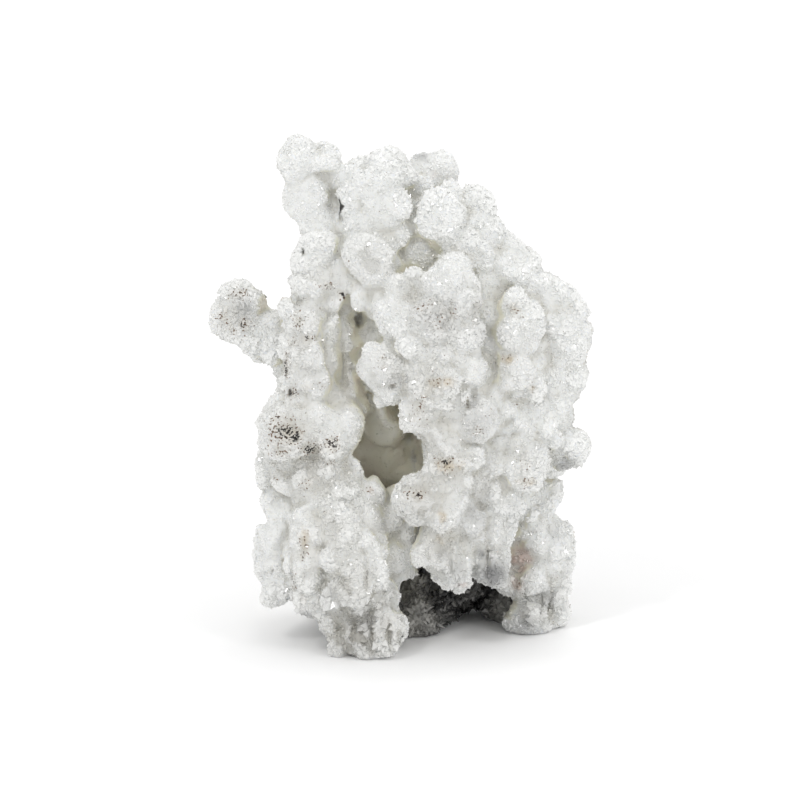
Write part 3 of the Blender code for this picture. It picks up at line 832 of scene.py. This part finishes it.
# The coat of small crystals.
druse = {
    "tries": 130000,
    "most": 84000,
    "perPiece": 22000,
    "patch": (10, 0.25, 0.7),  # spacing of the rough patches, and the noise they set in between
    "cover": (0.4, 1),  # share of the tries kept where it is smooth and in the patches
    "rimCover": (0.5, 0, 0.4),  # what standing out adds to a patch, and between which heights
    "bare": {"blades": 0.6, "pit": 0.15, "hollow": (0.85, 0.42, 0.66)},
    "clear": 0.15,  # no crystal reaches lower than this
    "size": (0.26, 0.95),  # half width of a crystal, smallest and largest
    "coarse": (8, 0.35, 1.1),  # spacing of the coarse patches, least size, what chance adds
    "rim": (0.3, 0.1, 0.45),  # what a knob's rim adds to the size, and between which heights
    "inHollow": (0.35, 0.45, 0.85),  # what shelter takes from the size, and between which values
    "sides": 4,
    "sunk": 0.25,  # how deep a crystal's middle sits, in sizes
    "lean": 0.65,  # how far its axis leans from the surface's normal
    "long": 0.64,  # half length, in sizes
    "blade": (0.6, 2.6),  # what the blades mark adds to the width and the length, in sizes
    "droop": 1.1,  # how far it turns crystals down and towards the viewer
    "seed": 4,
}
crystalShape = {
    "turn": 0.25,  # how far a corner is off its even place round the axis, radians
    "radius": (0.75, 1.2),  # of a corner, in half widths
    "lift": (-0.2, 0.35),  # of a corner along the axis, in half lengths
    "tip": (0.7, 1.25),  # height of the point, in half lengths
    "root": 0.8,
}


def scatter(mesh, fields, count, rng):
    # Random places spread evenly by area, with the normal and the fields there: each is the sum
    # over a triangle's three corners of the value x the corner's share.
    points, normals = vertexArrays(mesh)
    triangles = triangleArray(mesh)
    a, b, c = (points[triangles[:, k]] for k in range(3))
    area = np.linalg.norm(np.cross(b - a, c - a), axis=1)
    chosen = np.searchsorted(np.cumsum(area) / area.sum(), rng.random(count))
    u, v = rng.random(count), rng.random(count)
    fold = u + v > 1
    u[fold], v[fold] = 1 - u[fold], 1 - v[fold]
    corners, shares = triangles[chosen], np.stack([1 - u - v, u, v], 1)
    places = (points[corners] * shares[..., None]).sum(1)
    facing = unit((normals[corners] * shares[..., None]).sum(1))
    marks = {name: (values[corners] * shares).sum(1) for name, values in fields.items()}
    return places, facing, marks


def crystalCorners(places, axes, sizes, longs, sides, rng):
    # Each crystal is a ring of corners round its axis and a point at either end: corner k is at
    # size x (cos, sin) of its angle, with every radius, height and angle varied a little. The
    # ring runs the right-handed way round the axis.
    count = len(places)
    helper = np.where(np.abs(axes[:, 2:]) < 0.9, [[0, 0, 1.0]], [[1.0, 0, 0]])
    sideA = unit(np.cross(axes, helper))
    sideB = np.cross(axes, sideA)
    turn = crystalShape["turn"]
    angle = np.arange(sides) * 2 * math.pi / sides + rng.random((count, 1)) * 2 * math.pi
    angle = angle + rng.uniform(-turn, turn, (count, sides))
    radius = sizes[:, None] * rng.uniform(*crystalShape["radius"], (count, sides))
    lift = longs[:, None] * rng.uniform(*crystalShape["lift"], (count, sides))
    ring = (places[:, None] + sideA[:, None] * (radius * np.cos(angle))[..., None]
            + sideB[:, None] * (radius * np.sin(angle))[..., None]
            + axes[:, None] * lift[..., None])
    tip = places + axes * (longs * rng.uniform(*crystalShape["tip"], count))[:, None]
    root = places - axes * (longs * crystalShape["root"])[:, None]
    return np.concatenate([ring, tip[:, None], root[:, None]], 1)


def crystalPiece(name, corners, marks, material):
    # Triangles from each side of the ring to the tip and to the root, facing outwards.
    count, size = corners.shape[:2]
    sides = size - 2
    k = np.arange(sides)
    after = (k + 1) % sides
    up = np.stack([k, after, np.full(sides, sides)], 1)
    down = np.stack([after, k, np.full(sides, sides + 1)], 1)
    faces = np.concatenate([up, down])[None] + (np.arange(count) * size)[:, None, None]
    mesh = meshFrom(name, corners.reshape(-1, 3), faces.reshape(-1, 3))
    mesh.shade_flat()
    setFields(mesh, {key: np.repeat(values, size) for key, values in marks.items()})
    piece = newPiece(name, mesh, material)
    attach(piece, "root")
    print(name, len(mesh.polygons), "triangles")


def druseChance(places, marks):
    # How likely a try is kept: more in rough patches and on rims, fewer among the blades and in
    # the hollows.
    spacing, low, high = druse["patch"]
    more, rimLow, rimHigh = druse["rimCover"]
    cover = eased(clouds(places, spacing, 35), low, high)
    cover = np.clip(cover + more * eased(marks["edge"], rimLow, rimHigh), 0, 1)
    smooth, rough = druse["cover"]
    less, hollowLow, hollowHigh = druse["bare"]["hollow"]
    chance = smooth + (rough - smooth) * cover
    chance = chance * (1 - druse["bare"]["blades"] * np.clip(marks["blades"], 0, 1))
    return chance * (1 - less * eased(marks["hollow"], hollowLow, hollowHigh))


def druseSizes(places, marks, rng):
    # Half widths in metres: coarse and fine patches, a little chance, larger on the rims and
    # smaller in the hollows.
    smallest, largest = druse["size"]
    spacing, least, more = druse["coarse"]
    coarse = clouds(places, spacing, 31) * (least + more * rng.random(len(places)) ** 2)
    sizes = smallest + (largest - smallest) * np.clip(coarse, 0, 1)
    more, low, high = druse["rim"]
    sizes = sizes * (1 + more * eased(marks["edge"], low, high))
    less, low, high = druse["inHollow"]
    return sizes * (1 - less * eased(marks["hollow"], low, high)) * mm


def buildDruse(body, fields, material):
    # Crystals all over the crust, with longer, drooping ones among the blades.
    rng = np.random.default_rng(druse["seed"])
    places, facing, marks = scatter(body.data, fields, druse["tries"], rng)
    kept = rng.random(len(places)) < druseChance(places, marks)
    kept = kept & (marks["pit"] < druse["bare"]["pit"])
    kept = np.flatnonzero(kept)[:druse["most"]]
    places, facing = places[kept], facing[kept]
    marks = {name: values[kept] for name, values in marks.items()}
    marks["shade"] = rng.random(len(places))
    sizes = druseSizes(places, marks, rng)
    wider, longer = druse["blade"]
    bladed = marks["blades"] * rng.random(len(places))
    longs = sizes * (druse["long"] + longer * bladed)
    sizes = sizes * (1 + wider * bladed)
    axes = facing + druse["lean"] * rng.normal(size=places.shape)
    axes = unit(axes + np.outer(marks["blades"] * druse["droop"], nearWay * 0.5 - upWay))
    places = places - facing * (sizes * druse["sunk"])[:, None]
    shapes = crystalCorners(places, axes, sizes, longs, druse["sides"], rng)
    order = np.argsort(places[:, 2])
    order = order[shapes[order, :, 2].min(1) > druse["clear"] * mm]
    for number, start in enumerate(range(0, len(order), druse["perPiece"]), 1):
        part = order[start:start + druse["perPiece"]]
        partMarks = {key: values[part] for key, values in marks.items()}
        crystalPiece("druse" + str(number), shapes[part], partMarks, material)


# The rock, dark grey: its own colour and partly painted shade under the cluster.
rockShape = {
    "cell": 0.6,
    "rounding": 2,
    "steps": [(5.5, 1.1, 41), (2.4, 0.8, 42)],  # spacing, height and seed of the hollows
    "wander": (5, 1.3, 90),  # spacing, reach and seed of the irregularity
    "wanderFrom": (0.3, 4),
    "stepsFrom": (0.05, 1.0),
    "crystals": 6400,
    "size": (0.25, 0.9),
    "long": (0.8, 2.4),
    "lean": 0.7,
    "clear": 0.15,
    "sides": 5,
    "seed": 9,
}
rockMarks = {
    "pale": [
        (1.6, 14, 4.4, 9, 1.2), (5, 9, 3, 5, 0.8), (2.4, 3, 3.6, 5, 1), (7, 3, 5, 3, 0.6),
        (26, 6, 4, 5, 0.6),
    ],
    # holes painted black on the base, painted shade where no hole is cut
    "holeShade": [
        (5.4, 15.8, 0.9, 1, 1), (14.4, 6.4, 1, 1, 1), (9, 7, 1.6, 1.6, 0.7),
        (-1.4, 16, 1.4, 1.4, 1),
    ],
}


def buildRock(material):
    # Broken ground: the domes are turned over, so that they leave sharp ridges between hollows.
    # Coarse crystals stand all over it.
    mesh = netted(nodeMesh("matrix_rock"), rockShape["cell"], rockShape["rounding"])
    points, normals = vertexArrays(mesh)
    rise = np.zeros(len(points))
    for spacing, height, seed in rockShape["steps"]:
        rise += height * (0.5 - domes(points, spacing, seed))
    rise *= eased(points[:, 2] / mm, *rockShape["stepsFrom"])
    points = points + normals * rise[:, None] * mm
    spacing, reach, seed = rockShape["wander"]
    far = reach * mm * eased(points[:, 2:] / mm, *rockShape["wanderFrom"])
    points += wander(points, spacing, seed) * far
    points[:, 2] = np.maximum(points[:, 2], 0)
    mesh = meshFrom("rockBody", points, triangleArray(mesh))
    seen = asSeen(vertexArrays(mesh)[0])
    fields = {name: markField(seen, marks) for name, marks in rockMarks.items()}
    setFields(mesh, {**fields, "shade": np.full(len(points), 0.5)})
    rock = newPiece("rockBody", mesh, material)
    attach(rock, "root")
    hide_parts("matrix_rock")
    rng = np.random.default_rng(rockShape["seed"])
    places, facing, marks = scatter(mesh, fields, rockShape["crystals"], rng)
    sizes = rng.uniform(*rockShape["size"], len(places)) * mm
    longs = sizes * rng.uniform(*rockShape["long"], len(places))
    axes = unit(facing + rockShape["lean"] * rng.normal(size=places.shape))
    shapes = crystalCorners(places, axes, sizes, longs, rockShape["sides"], rng)
    marks["shade"] = rng.random(len(places))
    clear = shapes[:, :, 2].min(1) > rockShape["clear"] * mm
    marks = {key: values[clear] for key, values in marks.items()}
    crystalPiece("rockCrystals", shapes[clear], marks, material)
    print("rock:", len(triangleArray(mesh)), "triangles")


# Materials. Colours are linear.
crustPaint = {
    "white": (0.805, 0.808, 0.79, 1),
    "cloudy": (0.775, 0.78, 0.76, 1),
    # rim: a painted highlight on the knobs' rims, where thin crystal edges catch the light
    "rim": (0.86, 0.862, 0.85, 1),
    # painted shade in the creases between knobs, darker where the surface sinks below its
    # surroundings
    "creaseShade": (0.62, 0.605, 0.55, 1),
    "dullAndShade": (0.45, 0.435, 0.39, 1),
    # hollowShade and deep: painted shade in the hollows, warm like light bounced among the
    # crystals, deep in the most sheltered
    "hollowShade": (0.79, 0.775, 0.63, 1),
    "deep": (0.80, 0.76, 0.67, 1),
    "beige": (0.56, 0.485, 0.37, 1),
    "dust": (0.42, 0.37, 0.28, 1),
    "brown": (0.16, 0.09, 0.045, 1),
    "pink": (0.56, 0.44, 0.39, 1),
    "smokeAndShade": (0.17, 0.17, 0.17, 1),
    "black": (0.012, 0.010, 0.008, 1),
}
# How each of them comes in: the values of its field it grows between, its share at most, the
# size in millimetres of the noise in it, and the least and what that noise adds.
crustMix = {
    "cloudy": {"size": 11, "range": (0.35, 0.7)},
    "dullAndShade": {"least": 0.8, "more": 0.4, "size": 3},
    "rim": {"range": (0.15, 0.5), "share": 0.5},
    "creaseShade": {"range": (-0.12, -0.6), "share": 0.6},
    "hollowShade": {"range": (0.45, 0.8), "share": 0.8},
    "deep": {"range": (0.70, 0.95)},
    "smokeAndShade": {"least": 0.7, "more": 0.6, "size": 2.5},
    "stain": {"size": 2.4, "range": (0.12, 0.62)},
    "rose": {"size": 2.4, "range": (0.1, 0.6)},
    "speck": {"least": 0.45, "size": 2.6},
    "dust": {"range": (0.3, 1.1), "share": 0.35},
    "dots": {"size": 0.6, "speck": 0.27, "range": (0.78, 0.82)},
    "blackDots": {"size": 1.7, "more": 0.6, "range": (0.9, 1.3)},
    "pit": {"range": (0.25, 0.8)},
}
crustGloss = {
    "rough": (0.3, 0.4, 1.5),  # least, what noise adds, its size
    "inside": 0.5,  # how much of the light goes in
    "insideScale": 0.0012,  # and how far, in metres, with each colour's share of it
    "insideColours": (1, 0.93, 0.8),
    "bend": 1.53,
    "relief": (0.5, 0.12),  # size and depth of the finest roughness
    "grainRough": (0.06, 0.22),
    "grainBend": 1.68,
}


def crustTone(g):
    # White, cloudy in patches; painted shade in the creases and a painted highlight on the rims;
    # painted warm shade in the hollows; then the marks over it.
    paint, mix = crustPaint, crustMix

    def grown(name, value):
        return g.between(value, *mix[name]["range"]) * mix[name].get("share", 1)

    def patchy(name):
        choice = mix[name]
        return g.field(name) * (choice["least"] + choice["more"] * g.noise(choice["size"], 3))

    def blotched(name):
        return grown(name, g.field(name) * g.noise(mix[name]["size"], 3))

    edge, hollow = g.field("edge"), g.field("hollow")
    cloudy = grown("cloudy", g.noise(mix["cloudy"]["size"]))
    tone = g.blend(cloudy, paint["white"], paint["cloudy"])
    # duller patches of crystal, and painted shade in the recesses and low down
    tone = g.blend(patchy("dullAndShade"), tone, paint["dullAndShade"])
    # painted highlight on the rims
    tone = g.blend(grown("rim", edge), tone, paint["rim"])
    # painted shade in the creases
    tone = g.blend(grown("creaseShade", edge), tone, paint["creaseShade"])
    # painted warm shade in the hollows, by how sheltered a point is
    tone = g.blend(grown("hollowShade", hollow), tone, paint["hollowShade"])
    tone = g.blend(grown("deep", hollow), tone, paint["deep"])
    # grey: painted shade on undersides and in dark gaps, and greyer crystal
    tone = g.blend(patchy("smokeAndShade"), tone, paint["smokeAndShade"])
    tone = g.blend(blotched("stain"), tone, paint["beige"])
    tone = g.blend(blotched("rose"), tone, paint["pink"])
    speck = g.field("speck") * (mix["speck"]["least"] + g.noise(mix["speck"]["size"], 1))
    tone = g.blend(grown("dust", speck), tone, paint["dust"])
    dots = grown("dots", g.noise(mix["dots"]["size"], 1) + mix["dots"]["speck"] * speck)
    black = speck + mix["blackDots"]["more"] * g.noise(mix["blackDots"]["size"])
    dotTone = g.blend(grown("blackDots", black), paint["brown"], paint["black"])
    tone = g.blend(dots, tone, dotTone)
    # pits painted black by their depth: painted shade
    return g.blend(grown("pit", g.field("pit")), tone, paint["black"])


def crustMaterial():
    g = Graph(bpy.data.materials.new("aragonite"))
    gloss = crustGloss
    least, more, size = gloss["rough"]
    g.feed(Base_Color=crustTone(g), Roughness=least + more * g.noise(size), IOR=gloss["bend"])
    g.feed(Subsurface_Weight=gloss["inside"], Subsurface_Scale=gloss["insideScale"])
    g.feed(Subsurface_Radius=gloss["insideColours"])
    size, depth = gloss["relief"]
    g.feed(Normal=g.relief(g.noise(size), depth))
    return g.owner


def grainMaterial():
    # The same colours without light inside, so that a small crystal isn't darkened by its root.
    g = Graph(bpy.data.materials.new("aragoniteGrains"))
    least, more = crustGloss["grainRough"]
    rough = least + more * g.field("shade")
    g.feed(Base_Color=crustTone(g), Roughness=rough, IOR=crustGloss["grainBend"])
    return g.owner


# the base's dark and grey tones are its own colour and partly painted shade under the cluster
rockPaint = {
    "dark": (0.014, 0.014, 0.014, 1),
    "grey": (0.085, 0.084, 0.08, 1),
    "glassy": (0.24, 0.235, 0.225, 1),
    "pale": (0.44, 0.43, 0.40, 1),
    "black": (0.006, 0.006, 0.006, 1),
}
rockMix = {
    "patch": (4, 0.35, 0.65),  # size of the dark and grey patches, and where they meet
    "glassy": (0.55, 0.5, 3),  # what the pale mark and noise add to a crystal's own shade
    "glassyRange": (0.85, 1.35),  # the sums between which it turns glassy
    "pale": 0.8,
    "holeShade": (0.3, 0.7),
    "rough": (0.12, 0.5, 1.5),
    "bend": 1.55,
}


def rockMaterial():
    g = Graph(bpy.data.materials.new("greyRockAndShade"))
    paint, mix = rockPaint, rockMix
    size, low, high = mix["patch"]
    # dark and grey patches: the base's colour and partly painted shade
    tone = g.blend(g.between(g.noise(size, 4), low, high), paint["dark"], paint["grey"])
    pale, more, size = mix["glassy"]
    clear = g.field("shade") + pale * g.field("pale") + more * g.noise(size)
    tone = g.blend(g.between(clear, *mix["glassyRange"]), tone, paint["glassy"])
    tone = g.blend(g.field("pale") * mix["pale"], tone, paint["pale"])
    # painted shade of holes
    tone = g.blend(g.between(g.field("holeShade"), *mix["holeShade"]), tone, paint["black"])
    least, more, size = mix["rough"]
    g.feed(Base_Color=tone, Roughness=least + more * g.noise(size), IOR=mix["bend"])
    return g.owner


# Floor, light and camera.
studio = {
    "floorHalf": 6,  # metres
    "paper": [(0.945, 0.945, 0.945, 1), (0.96, 0.96, 0.96, 1)],
    "paperPatch": 60,
    "paperRough": 0.95,
    "horizon": (0.68, 0.68, 0.685, 1),
    "zenith": (1.1, 1.1, 1.1, 1),
    "suns": {  # elevation, azimuth and width in degrees, strength
        "key": (48, 235, 8, 0.46),
        "fill": (32, 315, 12, 0.37),
        "top": (72, 60, 12, 0.2),
    },
}


def sun(name, elevation, azimuth, width, strength):
    lamp = bpy.data.lights.new(name, "SUN")
    lamp.angle = math.radians(width)
    lamp.energy = strength
    light = bpy.data.objects.new(name, lamp)
    bpy.context.scene.collection.objects.link(light)
    high, turn = math.radians(elevation), math.radians(azimuth)
    flat = math.cos(high)
    way = Vector((flat * math.cos(turn), flat * math.sin(turn), math.sin(high)))
    light.location = way
    light.rotation_euler = way.to_track_quat("Z", "Y").to_euler()


def buildStudio():
    half = studio["floorHalf"]
    mesh = bpy.data.meshes.new("floor")
    corners = [(-half, -half, 0), (half, -half, 0), (half, half, 0), (-half, half, 0)]
    mesh.from_pydata(corners, [], [(0, 1, 2, 3)])
    g = Graph(bpy.data.materials.new("palePaper"))
    tone = g.blend(g.noise(studio["paperPatch"]), *studio["paper"])
    g.feed(Base_Color=tone, Roughness=studio["paperRough"])
    newPiece("floor", mesh, g.owner)
    world = Graph(bpy.data.worlds.new("softSky"), "Background", "Generated")
    height = world.node("ShaderNodeSeparateXYZ", None, {"Vector": world.place}, "Z")
    world.feed(Color=world.blend(height, studio["horizon"], studio["zenith"]), Strength=1)
    bpy.context.scene.world = world.owner
    for name, values in studio["suns"].items():
        sun(name, *values)


def buildCamera():
    lens = bpy.data.cameras.new("camera")
    lens.lens = photoView["lens"]
    lens.sensor_width = photoView["sensor"]
    lens.clip_start = photoView["clipStart"]
    camera = bpy.data.objects.new("camera", lens)
    bpy.context.scene.collection.objects.link(camera)
    camera.location = Vector((aim + nearWay * photoView["distance"]) * mm)
    camera.rotation_euler = Vector(-nearWay).to_track_quat("-Z", "Y").to_euler()
    bpy.context.scene.camera = camera
    bpy.context.scene.view_settings.view_transform = "Standard"


body, bodyFields = buildCrust(crustMaterial())
buildDruse(body, bodyFields, grainMaterial())
buildRock(rockMaterial())
buildStudio()
buildCamera()
